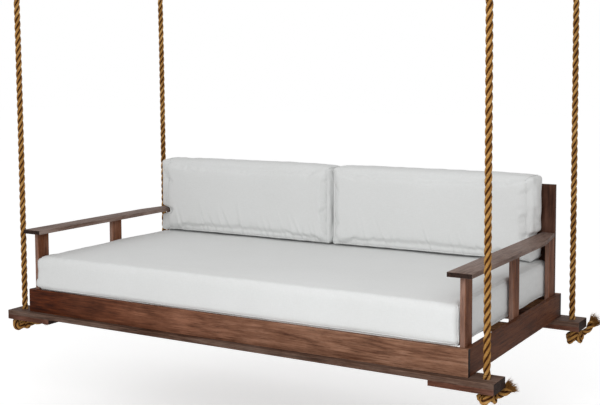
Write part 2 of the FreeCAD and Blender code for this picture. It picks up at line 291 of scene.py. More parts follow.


# Each wood's dark, middle, light and weathered tones, and how much of it is weathered; for the posts this
# share also sets the painted light on their front and back faces.
WOODS = {
    "left_rail": ((0.030, 0.006, 0.002), (0.105, 0.024, 0.007),
                  (0.270, 0.072, 0.022), (0.110, 0.052, 0.034), 0.15),
    "right_rail": ((0.085, 0.032, 0.017), (0.245, 0.118, 0.070),
                   (0.430, 0.250, 0.170), (0.270, 0.170, 0.130), 0.3),
    "rail": ((0.030, 0.008, 0.003), (0.098, 0.030, 0.011),
             (0.200, 0.075, 0.033), (0.110, 0.052, 0.034), 0.25),
    "beam": ((0.030, 0.013, 0.007), (0.095, 0.047, 0.030),
             (0.220, 0.135, 0.100), (0.155, 0.108, 0.086), 0.7),
    "doubler": ((0.045, 0.016, 0.010), (0.120, 0.045, 0.026),
                (0.240, 0.115, 0.080), (0.160, 0.088, 0.070), 0.4),
    "arm": ((0.070, 0.036, 0.026), (0.175, 0.110, 0.085),
            (0.300, 0.220, 0.185), (0.270, 0.205, 0.180), 0.8),
    "post": ((0.045, 0.011, 0.003), (0.150, 0.046, 0.016),
             (0.320, 0.125, 0.050), (0.310, 0.195, 0.155), 0.4),
    "back": ((0.030, 0.011, 0.006), (0.090, 0.037, 0.022),
             (0.180, 0.085, 0.055), (0.120, 0.075, 0.058), 0.3),
    "deck": ((0.050, 0.020, 0.008), (0.150, 0.062, 0.025),
             (0.280, 0.135, 0.058), (0.180, 0.110, 0.070), 0.3),
}
TONES = ("Dark", "Mid", "Light", "Grey")
WEAR_WIDE = 0.0035            # worn strip beside an edge


def wood_tones(kind):
    """What a kind of wood gives the board figure."""
    *tones, dull = WOODS[kind]
    return {**{label: (*tone, 1) for label, tone in zip(TONES, tones)}, "Dull": dull}


def wood(name, kinds, along, figure, wear):
    """Oiled hardwood for one board: its grain runs along X, Y or Z and its tones may change along it."""
    material, build, shader = new_material(name + "_wood")
    low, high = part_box(name)
    place = build.object_place()
    parts = build.node("ShaderNodeSeparateXYZ", {"Vector": place}).outputs
    order = {0: (0, 1, 2), 1: (1, 0, 2), 2: (2, 0, 1)}[along]
    own = 0.37 * (sum(ord(letter) * (i + 3) for i, letter in enumerate(name)) % 97)
    shifted = build.node("ShaderNodeCombineXYZ", {"X": build.add(parts[order[0]], own),
                                                  "Y": build.add(parts[order[1]], own * 0.5),
                                                  "Z": parts[order[2]]})
    facing = build.node("ShaderNodeSeparateXYZ",
                        {"Vector": build.node("ShaderNodeNewGeometry").outputs["Normal"]}).outputs
    end = build.math("GREATER_THAN", build.math("ABSOLUTE", facing[along]), 0.8)
    # Painted light: a post's faces turned to the front or back take extra grey tone, lighter than its side
    # faces, as faces lit from the front look.
    face = build.times(build.math("ABSOLUTE", facing[1]), 1.2 if kinds[0] == "post" else 0.0)
    edges = {"Place": place, "Low": low, "High": high, "Width": WEAR_WIDE}
    worn = add_group(build, wear, edges).outputs["Mask"]
    tones = wood_tones(kinds[0])
    inputs = {"Vector": shifted.outputs[0], "End": end, "Worn": worn, "Face": face, **tones}
    if len(kinds) > 1:
        drift = build.times(build.noise(place, 2.2), 0.5)
        run = build.remap(parts[along], low[along], high[along], -0.2, 0.95)
        share = build.remap(build.add(run, drift), 0.15, 0.95)
        far_tones = wood_tones(kinds[1])
        for label in TONES:
            inputs[label] = build.blend(share, tones[label], far_tones[label])
    made = add_group(build, figure, inputs)
    build.feed(shader.inputs["Base Color"], made.outputs["Color"])
    build.feed(shader.inputs["Roughness"], made.outputs["Roughness"])
    shader.inputs["Specular IOR Level"].default_value = 0.10
    add_bump(build, shader, made.outputs["Height"], 0.4, 0.0006)
    return material


def wood_kinds(name):
    """Which wood tones a board takes: one set, or one at each end."""
    if name.startswith("deck_slat") or name.endswith(("ledger", "joist")):
        return ["deck"]
    if name in ("front_rail", "rear_rail"):
        return ["left_rail", "right_rail"]
    if name.endswith("_post"):
        return ["post"]
    if "back_" in name:
        return ["back"]
    return [name.split("_")[-1]]


def finish_boards():
    """Gives every board the wood whose grain runs along it."""
    figure = board_figure()
    wear = edge_wear()
    for name in frame["record"]["behaviour"]["bodies"]["bed"]:
        if name.endswith(("knot", "cushion")) or name == "mattress":
            continue
        low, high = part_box(name)
        size = high - low
        along = max(range(3), key=lambda i: size[i])
        set_material(nodes[name], wood(name, wood_kinds(name), along, figure, wear))


def set_material(piece, material):
    """Puts one material in every slot of a piece."""
    if not piece.material_slots:
        piece.data.materials.append(material)
    for slot in piece.material_slots:
        slot.material = material


# ---- metal and nylon ----------------------------------------------------------------------------
def mottled(name, tone_a, tone_b, metallic, rough_low, rough_high, scale):
    """A cast or coated surface with fine mottling."""
    material, build, shader = new_material(name)
    place = build.object_place()
    broad = build.noise(place, scale, 5.0, 0.6)
    fine = build.noise(place, scale * 22, 3.0, 0.6)
    build.feed(shader.inputs["Base Color"], build.ramp(broad, [(0.3, tone_a), (0.7, tone_b)]))
    build.feed(shader.inputs["Roughness"], build.remap(broad, 0.0, 1.0, rough_low, rough_high))
    shader.inputs["Metallic"].default_value = metallic
    add_bump(build, shader, fine, 0.25, 0.0003)
    return material


def finish_hangers():
    """Black coated yokes, plated bolts, nylon bushes and galvanised thimbles."""
    coat = mottled("black_coat", (0.012, 0.012, 0.013), (0.03, 0.03, 0.032), 0.0, 0.38, 0.55, 18.0)
    plate = mottled("zinc_plate", (0.42, 0.42, 0.41), (0.62, 0.61, 0.58), 1.0, 0.28, 0.45, 30.0)
    nylon = mottled("nylon", (0.70, 0.68, 0.61), (0.80, 0.78, 0.72), 0.0, 0.42, 0.55, 25.0)
    galvanised = mottled("galvanised", (0.38, 0.39, 0.40), (0.63, 0.63, 0.62), 1.0, 0.35, 0.6, 45.0)
    set_material(nodes["hanger_yokes"], coat)
    set_material(nodes["hanger_bushes"], nylon)
    for name in ("hanger_studs", "hanger_pins", "hanger_nuts"):
        set_material(nodes[name], plate)
    for corner in CORNERS:
        set_material(nodes[corner + "_thimble"], galvanised)


# ---- rope ---------------------------------------------------------------------------------------
ROPE_D = 0.025
ROPE_R = ROPE_D / 2
STRAND_R = 0.0068             # one of the three strands
STRAND_OUT = 0.0062           # strand's middle from the rope's middle
LAY = 0.098                   # rope's length for one full turn of a strand
PIVOT_UP = 0.0128             # rope's lower end above the beam
PIN_Z = -0.070
# Rope around its thimble, seen from the +X side: (back, up) from the pin's middle, in metres.
EYE_POINTS = [(0.0, -0.128), (-0.0381, 0.0025), (-0.0275, 0.0265), (-0.0039, 0.038), (0.0216, 0.0315),
              (0.0368, 0.0101), (0.0256, -0.126), (0.0256, -0.205)]
KNOT_MIDDLE = 0.024           # knot's middle below the doubler
OPENED = 0.045                # stretch over which a cut end's strands open
FIBRES = 260                  # loose fibres at a cut end
FIBRE_GROOVE = 0.70           # their groove value: 0 is deep between the strands, 1 is outside; it gives them part of the painted groove shade
TWINE_R = 0.0016
TWINE_HALF = 0.0128           # half the distance between the rope's middle and its tail's
TWINE_CLEAR = 0.0006          # twine outside the rope
TWINE_STEPS = 20              # points in each turn of twine
TWINE_LOW = 0.190             # the seizing's ends below the pin
TWINE_HIGH = 0.142
ROPE_STEP = 0.005             # between the rings of a rope's mesh
KNOT_STEP = 0.004
# Each knot: its middle off the rope's, the size and rise of its turns, their spin in degrees, the
# tail's points (outward along the beam, back, up) from its middle, and how far its end is frayed.
KNOTS = {
    "front_left": {"off": (-0.018, -0.004, -0.003), "size": 0.0098, "rise": 0.0170, "spin": 20,
                   "tail": [(-0.050, 0.034, 0.004), (-0.066, 0.048, 0.008), (-0.082, 0.058, 0.009)],
                   "fray": 0.9},
    "front_right": {"off": (0.000, 0.000, 0.000), "size": 0.0104, "rise": 0.0135, "spin": 24,
                    "tail": [(0.032, 0.064, -0.006), (0.040, 0.080, 0.010), (0.052, 0.082, 0.020)],
                    "fray": 1.2},
    "rear_left": {"off": (-0.006, 0.004, -0.003), "size": 0.0102, "rise": 0.0150, "spin": 55,
                  "tail": [(-0.050, 0.034, 0.004), (-0.066, 0.048, 0.008), (-0.082, 0.058, 0.009)],
                  "fray": 1.0},
    "rear_right": {"off": (0.006, 0.002, -0.008), "size": 0.0108, "rise": 0.0200, "spin": 8,
                   "tail": [(0.034, 0.068, 0.002), (0.046, 0.082, 0.030), (0.062, 0.084, 0.050)],
                   "fray": 1.6},
}


def rope_fibre():
    """Manila: golden fibres along each strand, with painted shade darkening them where the strands meet."""
    material, build, shader = new_material("manila")
    uv = build.node("ShaderNodeUVMap", uv_map="lay").outputs[0]
    place = build.object_place()
    fibres = build.noise(build.stretched(uv, (26.0, 120.0, 1.0)), 1.0, 5.0, 0.7)
    hairs = build.noise(build.stretched(uv, (90.0, 260.0, 1.0)), 1.0, 3.0, 0.7)
    patches = build.noise(place, 22.0, 4.0, 0.6)
    tone = build.add(build.times(fibres, 0.65), build.times(patches, 0.4))
    colour = build.ramp(tone, [(0.32, (0.060, 0.020, 0.003)), (0.44, (0.26, 0.112, 0.022)),
                               (0.57, (0.52, 0.275, 0.075)), (0.72, (0.88, 0.62, 0.29))])
    groove = build.node("ShaderNodeAttribute", attribute_name="groove").outputs["Fac"]
    # Painted shade: darkens the strands towards black deep between them, where shade falls.
    painted_groove_shade = build.ramp(groove, [(0.0, (0.012, 0.004, 0.001)), (0.55, (0.22, 0.13, 0.08)), (0.92, (1, 1, 1))])
    build.feed(shader.inputs["Base Color"], build.blend(1.0, colour, painted_groove_shade, "MULTIPLY"))
    build.feed(shader.inputs["Roughness"], build.remap(hairs, 0.0, 1.0, 0.62, 0.95))
    shader.inputs["Specular IOR Level"].default_value = 0.15
    add_bump(build, shader, build.add(fibres, hairs), 0.8, 0.0012)
    return material


def curve_mesh(name, kind, points, **settings):
    """The mesh of a curve: straight from point to point, or the smooth line that the points control."""
    curve = bpy.data.curves.new(name, "CURVE")
    curve.dimensions = "3D"
    for key, value in settings.items():
        setattr(curve, key, value)
    spline = curve.splines.new(kind)
    spline.points.add(len(points) - 1)
    for knot, place in zip(spline.points, points):
        knot.co = (*place, 1.0)
    if kind == "NURBS":
        spline.use_endpoint_u = True
        spline.order_u = 3
    holder = add_object(name + "_line", curve)
    bpy.context.view_layer.update()
    mesh = bpy.data.meshes.new_from_object(holder)
    bpy.data.objects.remove(holder)
    bpy.data.curves.remove(curve)
    return mesh


def spline_points(points, name):
    """Points along the smooth line that the given points control."""
    mesh = curve_mesh(name, "NURBS", points, resolution_u=24)
    line = [v.co.copy() for v in mesh.vertices]
    bpy.data.meshes.remove(mesh)
    return line


def even(line, step):
    """The same line in equal steps."""
    places = np.array([tuple(p) for p in line])
    run = np.concatenate([[0.0], np.cumsum(np.linalg.norm(np.diff(places, axis=0), axis=1))])
    count = max(2, int(round(run[-1] / step)))
    marks = np.linspace(0.0, run[-1], count + 1)
    return np.stack([np.interp(marks, run, places[:, i]) for i in range(3)], axis=1), marks


def carried_frames(line):
    """Two directions across the line at each point, carried along it without twist."""
    ahead = np.gradient(line, axis=0)
    ahead /= np.linalg.norm(ahead, axis=1)[:, None]
    side = np.cross(ahead[0], (0.0, 1.0, 0.0))
    if np.linalg.norm(side) < 0.1:
        side = np.cross(ahead[0], (1.0, 0.0, 0.0))
    sides = []
    for direction in ahead:
        side = side - direction * side.dot(direction)
        side /= np.linalg.norm(side)
        sides.append(side.copy())
    sides = np.array(sides)
    return sides, np.cross(ahead, sides)


def strand_tubes(line, marks, phase, opened=0.0, sides=10):
    """Corners, faces, lay coordinates and groove values of three strands laid along a line."""
    u, v = carried_frames(line)
    corners, faces, uvs, grooves = [], [], [], []
    last = marks[-1]
    for strand in range(3):
        turn = phase + 2 * math.pi * (marks / LAY + strand / 3)
        loose = opened * np.clip((marks - last + OPENED) / OPENED, 0, 1) ** 1.6
        out = STRAND_OUT + loose
        thick = STRAND_R + 0.18 * loose
        away = u * np.cos(turn)[:, None] + v * np.sin(turn)[:, None]
        across = -u * np.sin(turn)[:, None] + v * np.cos(turn)[:, None]
        middle = line + away * out[:, None]
        start = len(corners)
        for i in range(len(line)):
            for j in range(sides):
                angle = 2 * math.pi * j / sides
                spot = away[i] * math.cos(angle) + across[i] * math.sin(angle)
                point = middle[i] + spot * thick[i]
                corners.append(point)
                off = STRAND_OUT + STRAND_R * math.cos(angle)
                out_of_middle = math.hypot(off, STRAND_R * math.sin(angle))
                # Groove value from the distance to the rope's middle; the manila material paints shade from
                # it.
                grooves.append(min(1.0, max(0.0, (out_of_middle - 0.006) / 0.0065)))
                uvs.append((j / sides * 0.43 * 2, marks[i] + strand * 3.1))
        for i in range(len(line) - 1):
            for j in range(sides):
                a = start + i * sides + j
                b = start + i * sides + (j + 1) % sides
                faces.append((a, b, b + sides, a + sides))
        faces.append(tuple(start + j for j in reversed(range(sides))))
        faces.append(tuple(start + (len(line) - 1) * sides + j for j in range(sides)))
    return corners, faces, uvs, grooves


def rope_mesh(name, line, marks, phase, opened=0.0):
    """A three-strand rope along a line, as one mesh."""
    corners, faces, uvs, grooves = strand_tubes(line, marks, phase, opened)
    piece = mesh_object(name, [tuple(c) for c in corners], faces)
    mesh = piece.data
    layer = mesh.uv_layers.new(name="lay")
    for loop in mesh.loops:
        layer.data[loop.index].uv = (uvs[loop.vertex_index][1], uvs[loop.vertex_index][0])
    add_groove(mesh, grooves)
    return piece


def trefoil(turn, knot, flip):
    """A point on a knot's turns, from its middle."""
    size, spin = knot["size"], math.radians(knot["spin"])
    x = size * (math.sin(turn) + 2 * math.sin(2 * turn))
    y = size * (math.cos(turn) - 2 * math.cos(2 * turn))
    z = -knot["rise"] * math.sin(3 * turn)
    across = x * math.cos(spin) - y * math.sin(spin)
    back = x * math.sin(spin) + y * math.cos(spin)
    return Vector((flip * across, back, z))


def knot_line(axis, top, knot, flip):
    """Down through the beam, round the knot and out along the tail."""
    middle = axis + Vector(knot["off"])
    points = [Vector((axis.x, axis.y, top)), Vector((axis.x, axis.y, axis.z + 0.030))]
    for step in range(1, 16):
        turn = math.radians(8 + 19.5 * step)
        points.append(middle + trefoil(turn, knot, flip))
    for out, back, up in knot["tail"]:
        points.append(middle + Vector((flip * out, back, up)))
    return points


def frayed_fibres(name, end, direction, seed, fray):
    """Loose fibres fanning from a rope's cut end."""
    rng = np.random.default_rng(seed)
    mesh = bmesh.new()
    layer = mesh.loops.layers.uv.new("lay")
    end = Vector(end)
    direction = Vector(direction).normalized()
    side = direction.orthogonal().normalized()
    other = direction.cross(side)
    for fibre in range(FIBRES):
        angle = rng.uniform(0, 2 * math.pi)
        away = (side * math.cos(angle) + other * math.sin(angle)) * math.sqrt(rng.uniform(0, 1))
        root = end + away * ROPE_R * (0.6 + 0.5 * fray) - direction * rng.uniform(0.004, 0.016)
        long = rng.uniform(0.014, 0.026) * fray
        stray = Vector(rng.uniform(-1, 1, 3)) * 0.005 * fray
        bend = root + direction * long * 0.55 + away * 0.006 * fray + stray * 0.3
        tip = bend + direction * long * 0.45 + away * 0.003 * fray + stray - Vector((0, 0, 0.004 * fray))
        thick = rng.uniform(0.0007, 0.0013)
        rings = []
        for middle, share in ((root, 1.0), (bend, 0.75)):
            ring = []
            for corner in range(3):
                turn = 2 * math.pi * corner / 3
                spot = side * math.cos(turn) + other * math.sin(turn)
                ring.append(mesh.verts.new(middle + spot * thick * share))
            rings.append(ring)
        point = mesh.verts.new(tip)
        made = [mesh.faces.new(list(reversed(rings[0])))]
        for corner in range(3):
            after = (corner + 1) % 3
            side_face = (rings[0][corner], rings[0][after], rings[1][after], rings[1][corner])
            made.append(mesh.faces.new(side_face))
            made.append(mesh.faces.new((rings[1][corner], rings[1][after], point)))
        for face in made:
            for loop in face.loops:
                loop[layer].uv = (fibre * 0.13, 0.2)
    data = bpy.data.meshes.new(name)
    mesh.to_mesh(data)
    mesh.free()
    add_groove(data, np.full(len(data.vertices), FIBRE_GROOVE))
    return add_object(name, data)


def seizing(name, x, middle, low, high):
    """Twine wound tightly round the rope and its tail, below the eye."""
    turns = int((high - low) / (2 * TWINE_R))
    steps = turns * TWINE_STEPS
    reach = ROPE_R + TWINE_R + TWINE_CLEAR
    points = []
    for step in range(steps):
        turn = 2 * math.pi * step / TWINE_STEPS
        y = TWINE_HALF * max(-1.0, min(1.0, 1.6 * math.sin(turn))) + reach * math.sin(turn)
        z = low + (high - low) * step / steps
        points.append(Vector((x + reach * math.cos(turn), middle + TWINE_HALF + y, z)))
    mesh = curve_mesh(name, "POLY", points, bevel_depth=TWINE_R, bevel_resolution=2)
    mesh.name = name
    return add_object(name, mesh)


def make_ropes():
    """Each rope from its beam up round its thimble, and its knot and tail under the beam."""
    fibre = rope_fibre()
    twine = mottled("tarred_twine", (0.30, 0.22, 0.13), (0.46, 0.36, 0.23), 0.0, 0.7, 0.9, 120.0)
    for number, (corner, sign) in enumerate(CORNERS.items()):
        low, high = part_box(corner + "_thimble")
        x = (low.x + high.x) / 2
        middle = (low.y + high.y) / 2
        beam_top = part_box(corner.split("_")[0] + "_beam")[1].z
        doubler_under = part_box(corner + "_doubler")[0].z
        start = Vector((x, middle, beam_top + PIVOT_UP))
        route = [start]
        for back, up in EYE_POINTS:
            route.append(Vector((x, middle + back, PIN_Z + up)))
        line, marks = even(spline_points(route, corner + "_route"), ROPE_STEP)
        phase = 1.3 * number
        rope = rope_mesh(corner + "_laid_rope", line, marks, phase)
        set_material(rope, fibre)
        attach(rope, corner + "_line")
        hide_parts(corner + "_rope")

        tie = KNOTS[corner]
        axis = Vector((x, middle, doubler_under - KNOT_MIDDLE))
        under = spline_points(knot_line(axis, start.z, tie, sign), corner + "_knot_route")
        below, below_marks = even(under, KNOT_STEP)
        knot = rope_mesh(corner + "_tied_end", below, below_marks, phase_down(phase), 0.005 * tie["fray"])
        set_material(knot, fibre)
        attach(knot, "bed")
        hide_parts(corner + "_knot")
        fray = frayed_fibres(corner + "_fray", below[-1], below[-1] - below[-3], 11 + number, tie["fray"])
        set_material(fray, fibre)
        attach(fray, "bed")

        lashing = seizing(corner + "_seizing", x, middle, PIN_Z - TWINE_LOW, PIN_Z - TWINE_HIGH)
        set_material(lashing, twine)
        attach(lashing, corner + "_line")


def phase_down(phase):
    """The phase at which the stub's strands meet those of the rope above it."""
    return math.pi - phase


# ---- cushions -----------------------------------------------------------------------------------
CANVAS_SHADE = (0.685, 0.690, 0.680)
CANVAS_LIGHT = (0.745, 0.752, 0.748)
SEAM_R = 0.0017               # half the thickness of a sewn edge
SEAM_UP = 0.011               # bottom panel's seam above the underside
ARM_BULGE = {"left": 0.046, "right": 0.017}  # how far each back cushion swells past the arm beside it
CUSHION_DROP = 0.016          # top of a back cushion below the top of its room
LAP_LEFT = 0.015              # how far the mattress swells over the front rail at its left end
LAP_RIGHT = 0.011             # and at its right end
LAP_START = 0.0005            # the swelling starts this far above the rail's top
LAP_RISE = 0.007              # height in which the swelling grows to its full depth
LAP_FRONT = 0.05              # depth of the part of the mattress that swells forward
LAP_CORNER = 0.017            # how far it swells past the left front post's inner face
LAP_BESIDE = 0.07             # width of the part that swells past the post
POST_CLEAR = 0.0005           # it swells only this far in front of the post
POST_EASE = 0.004
RAIL_BAND = 0.002             # the part lower than this above the rail's top stays behind the rail
RAIL_REACH = 0.02
RAIL_GAP = 0.0005
ARM_EASE = 0.018              # height beside an arm in which a back cushion swells past it
SPREAD = 0.10                 # stretch of a back cushion's end that swells
CLOTH = {"quality": 5, "mass": 0.3, "tension_stiffness": 18, "compression_stiffness": 18,
         "shear_stiffness": 8, "bending_stiffness": 0.6, "use_pressure": True, "shrink_min": -0.03}


def canvas():
    """Off-white woven canvas with faint slubs."""
    material, build, shader = new_material("canvas")
    place = build.object_place()
    slub_x = build.noise(build.stretched(place, (60.0, 900.0, 900.0)), 1.0, 2.0, 0.5)
    slub_z = build.noise(build.stretched(place, (900.0, 60.0, 60.0)), 1.0, 2.0, 0.5)
    weave = build.add(slub_x, slub_z)
    tension = build.noise(build.stretched(place, (75.0, 75.0, 1.5)), 1.0, 3.0, 0.6)
    broad = build.noise(place, 2.6, 4.0, 0.6)
    tone = build.add(build.times(weave, 0.35), build.times(broad, 0.3))
    colour = build.ramp(tone, [(0.34, CANVAS_SHADE), (0.62, CANVAS_LIGHT)])
    build.feed(shader.inputs["Base Color"], colour)
    build.feed(shader.inputs["Roughness"], build.remap(weave, 0.0, 1.0, 0.82, 0.98))
    shader.inputs["Sheen Weight"].default_value = 0.12
    shader.inputs["Sheen Roughness"].default_value = 0.6
    shader.inputs["Specular IOR Level"].default_value = 0.2
    height = build.add(weave, build.times(tension, 0.9))
    add_bump(build, shader, height, 0.25, 0.0006)
    return material


def soft_box(name, low, high, cell, round_top, round_low):
    """A closed box with rounded edges, gridded finely enough to take creases."""
    size = high - low
    counts = [max(2, int(round(size[i] / cell))) for i in range(3)]
    mesh = bmesh.new()
    bmesh.ops.create_cube(mesh, size=1.0)
    for axis in range(3):
        edges = []
        for edge in mesh.edges:
            run = edge.verts[0].co - edge.verts[1].co
            if abs(abs(run[axis]) - run.length) < 1e-6 and run.length > 0.9:
                edges.append(edge)
        bmesh.ops.subdivide_edges(mesh, edges=edges, cuts=counts[axis] - 1, use_grid_fill=True)
    middle = (low + high) / 2
    for vertex in mesh.verts:
        up = min(1.0, 2.0 * (vertex.co.z + 0.5))
        round_r = round_low + (round_top - round_low) * up
        place = Vector([vertex.co[i] * size[i] for i in range(3)])
        held = Vector([max(round_r - size[i] / 2, min(size[i] / 2 - round_r, place[i])) for i in range(3)])
        away = place - held
        if away.length > 1e-6:
            place = held + away.normalized() * round_r
        vertex.co = middle + place
    bmesh.ops.recalc_face_normals(mesh, faces=mesh.faces)
    data = bpy.data.meshes.new(name)
    mesh.to_mesh(data)
    mesh.free()
    return add_object(name, data)


def points_of(piece):
    """A mesh's points as an array."""
    places = np.empty(len(piece.data.vertices) * 3)
    piece.data.vertices.foreach_get("co", places)
    return places.reshape(-1, 3)


def normals_of(piece):
    """A mesh's point normals as an array."""
    normals = np.empty(len(piece.data.vertices) * 3)
    piece.data.vertices.foreach_get("normal", normals)
    return normals.reshape(-1, 3)


def set_points(piece, places):
    """Moves a mesh's points."""
    piece.data.vertices.foreach_set("co", np.ascontiguousarray(places, dtype=np.float32).ravel())
    piece.data.update()


def crown_sides(piece, low, high, crowns, pinch):
    """Lowers the edges of the crowned sides, and draws the sides in between the corners."""
    places = points_of(piece)
    middle = (np.array(low) + np.array(high)) / 2
    half = (np.array(high) - np.array(low)) / 2
    share = (places - middle) / half
    full = 1.0 - np.clip(np.abs(share), 0, 1) ** (3.0 * np.sqrt(half / half.min()))
    moved = places.copy()
    for (axis, side), crown in crowns.items():
        across, along = [i for i in range(3) if i != axis]
        near = np.clip(share[:, axis] * side, 0, 1) ** 3
        moved[:, axis] -= side * crown * (1.0 - full[:, across] * full[:, along]) * near
    corner = np.abs(share).prod(axis=1) ** 2
    moved += np.sign(share) * corner[:, None] * np.array(pinch)
    set_points(piece, moved)


def inflate(piece, pressure, cap, slack, frames=20):
    """Swells the cover with cloth and air pressure; the filling holds it out to its start, less slack."""
    before = points_of(piece)
    outward = normals_of(piece)
    cloth = piece.modifiers.new("cover", "CLOTH")
    settings = cloth.settings
    for key, value in CLOTH.items():
        setattr(settings, key, value)
    settings.uniform_pressure_force = pressure
    settings.effector_weights.gravity = 0.0
    cloth.collision_settings.use_collision = False
    scene = bpy.context.scene
    scene.frame_start = 1
    for step in range(1, frames + 1):
        scene.frame_set(step)
    apply_modifiers(piece)
    moved = points_of(piece) - before
    along = (moved * outward).sum(axis=1)
    moved += outward * (np.maximum(along, -slack) - along)[:, None]
    far = np.linalg.norm(moved, axis=1)
    moved *= np.minimum(1.0, cap / np.maximum(far, 1e-9))[:, None]
    set_points(piece, before + moved)
    scene.frame_set(1)


def apply_modifiers(piece):
    """Turns a piece's modifiers into its mesh."""
    bpy.context.view_layer.update()
    evaluated = piece.evaluated_get(bpy.context.evaluated_depsgraph_get())
    mesh = bpy.data.meshes.new_from_object(evaluated)
    mesh.name = piece.name
    old = piece.data
    piece.modifiers.clear()
    piece.data = mesh
    bpy.data.meshes.remove(old)


def ease(value):
    """Nothing below 0, one above 1 and smooth between."""
    held = np.clip(value, 0.0, 1.0)
    return held * held * (3 - 2 * held)


def fill_room(piece, low, high):
    """Stretches a cover to its room's full size."""
    places = points_of(piece)
    for axis in range(3):
        start, end = places[:, axis].min(), places[:, axis].max()
        share = (places[:, axis] - start) / (end - start)
        places[:, axis] = low[axis] + share * (high[axis] - low[axis])
    set_points(piece, places)


def press_flat(piece, low, high, sides, give):
    """Eases the parts of a cover that pass its room's sides back to them."""
    places = points_of(piece)
    for axis, side in sides:
        edge = low[axis] if side < 0 else high[axis]
        past = side * (places[:, axis] - (edge - side * give))
        over = np.maximum(past, 0.0)
        places[:, axis] -= side * (over - give * (1 - np.exp(-over / give)))
    set_points(piece, places)


def noise_at(places, scale, seed):
    """Smooth noise from -1 to 1 at each point."""
    scaled = places * np.array(scale) + np.array((seed, -seed, 2 * seed))
    return np.array([noise.noise(Vector(p)) for p in scaled])


def push(piece, depths):
    """Moves each point of a cover out along its normal."""
    set_points(piece, points_of(piece) + normals_of(piece) * depths[:, None])


def surface_hits(piece, starts, aims):
    """Where rays from outside meet a cover."""
    tree = BVHTree.FromObject(piece, bpy.context.evaluated_depsgraph_get())
    hits = []
    for start, aim in zip(starts, aims):
        hit = tree.ray_cast(Vector(start), Vector(aim).normalized())[0]
        if hit is not None:
            hits.append(hit)
    return hits


def loop_seam(piece, low, high, axis, side, count=220):
    """Points on the edge all round one side of a cover."""
    middle = (low + high) / 2
    half = (high - low) / 2
    across, along = [i for i in range(3) if i != axis]
    starts, aims = [], []
    for step in range(count):
        turn = 2 * math.pi * step / count
        flat = [math.cos(turn), math.sin(turn)]
        reach = max(abs(flat[0]), abs(flat[1]))
        flat = [f / reach for f in flat]
        lean = Vector([math.copysign(abs(f) ** 8, f) for f in flat]).normalized()
        outward = Vector((0, 0, 0))
        outward[axis] = side
        outward[across], outward[along] = lean
        corner = middle.copy()
        corner[axis] += side * half[axis]
        corner[across] += flat[0] * half[across]
        corner[along] += flat[1] * half[along]
        starts.append(corner + outward * 0.08)
        aims.append(-outward)
    return surface_hits(piece, starts, aims)


def front_seam(piece, low, high, count=200):
    """Points along the front's lower edge, a little above the underside."""
    starts, aims = [], []
    for step in range(count + 1):
        x = low.x + 0.016 + (high.x - low.x - 0.032) * step / count
        starts.append((x, low.y - 0.06, low.z + SEAM_UP))
        aims.append((0, 1, 0))
    return surface_hits(piece, starts, aims)


def sew(piece, name, seams, material):
    """Draws the cover in along its seams, with puckers, and lays a sewn edge in each."""
    tree = KDTree(sum(len(points) for points, closed in seams))
    index = 0
    for points, closed in seams:
        for point in points:
            tree.insert(point, index)
            index += 1
    tree.balance()
    places = points_of(piece)
    off = np.array([tree.find(Vector(p))[2] for p in places])
    close = off < 0.09
    depths = np.zeros(len(places))
    gather = noise_at(places[close], (62, 62, 62), 4.4)
    wide = noise_at(places[close], (24, 24, 24), 7.3)
    near = off[close]
    depths[close] = (-0.0016 * np.exp(-(near / 0.0065) ** 2) + 0.0009 * gather * np.exp(-near / 0.014)
                     + 0.0009 * wide * np.exp(-near / 0.030))
    push(piece, depths)
    corners, faces = [], []
    for points, closed in seams:
        line = np.array([tuple(p) for p in points])
        for turn in range(3):
            if closed:
                line = (np.roll(line, 1, axis=0) + 2 * line + np.roll(line, -1, axis=0)) / 4
            else:
                line[1:-1] = (line[:-2] + 2 * line[1:-1] + line[2:]) / 4
        add_tube(corners, faces, line, SEAM_R, closed)
    edge = mesh_object(name, corners, faces)
    set_material(edge, material)
    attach(edge, "bed")


def add_tube(corners, faces, line, radius, closed, sides=8):
    """Adds a round tube along a line to a mesh's corners and faces."""
    if closed:
        line = np.vstack([line, line[:1]])
    u, v = carried_frames(line)
    if closed:
        u[-1], v[-1] = u[0], v[0]
    start = len(corners)
    count = len(line) - 1 if closed else len(line)
    for i in range(count):
        for j in range(sides):
            angle = 2 * math.pi * j / sides
            corners.append(tuple(line[i] + (u[i] * math.cos(angle) + v[i] * math.sin(angle)) * radius))
    for i in range(count if closed else count - 1):
        for j in range(sides):
            a = start + i * sides + j
            b = start + i * sides + (j + 1) % sides
            c = start + (i + 1) % count * sides + (j + 1) % sides
            d = start + (i + 1) % count * sides + j
            faces.append((a, b, c, d))
    if not closed:
        faces.append(tuple(start + j for j in reversed(range(sides))))
        faces.append(tuple(start + (count - 1) * sides + j for j in range(sides)))


def stuffed(name, node, crowns, pinch, cell, rounds, slack, sides, drop=0.0):
    """A swollen cover in the room that its CAD solid holds."""
    low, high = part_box(node)
    high.z -= drop
    inset = Vector((0.004, 0.004, 0.002))
    piece = soft_box(name, low + inset, high - inset, cell, *rounds)
    crown_sides(piece, low, high, crowns, pinch)
    inflate(piece, 4.0, 0.022, slack)
    subdivide = piece.modifiers.new("smooth", "SUBSURF")
    subdivide.levels = 1
    subdivide.render_levels = 1
    apply_modifiers(piece)
    press_flat(piece, low, high, sides, 0.003)
    fill_room(piece, low, high)
    return piece, low, high


def finish_cover(piece, node, material):
    """Gives a cover its finish and its place in the frame."""
    piece.data.polygons.foreach_set("use_smooth", [True] * len(piece.data.polygons))
    set_material(piece, material)
    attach(piece, "bed")
    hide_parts(node)


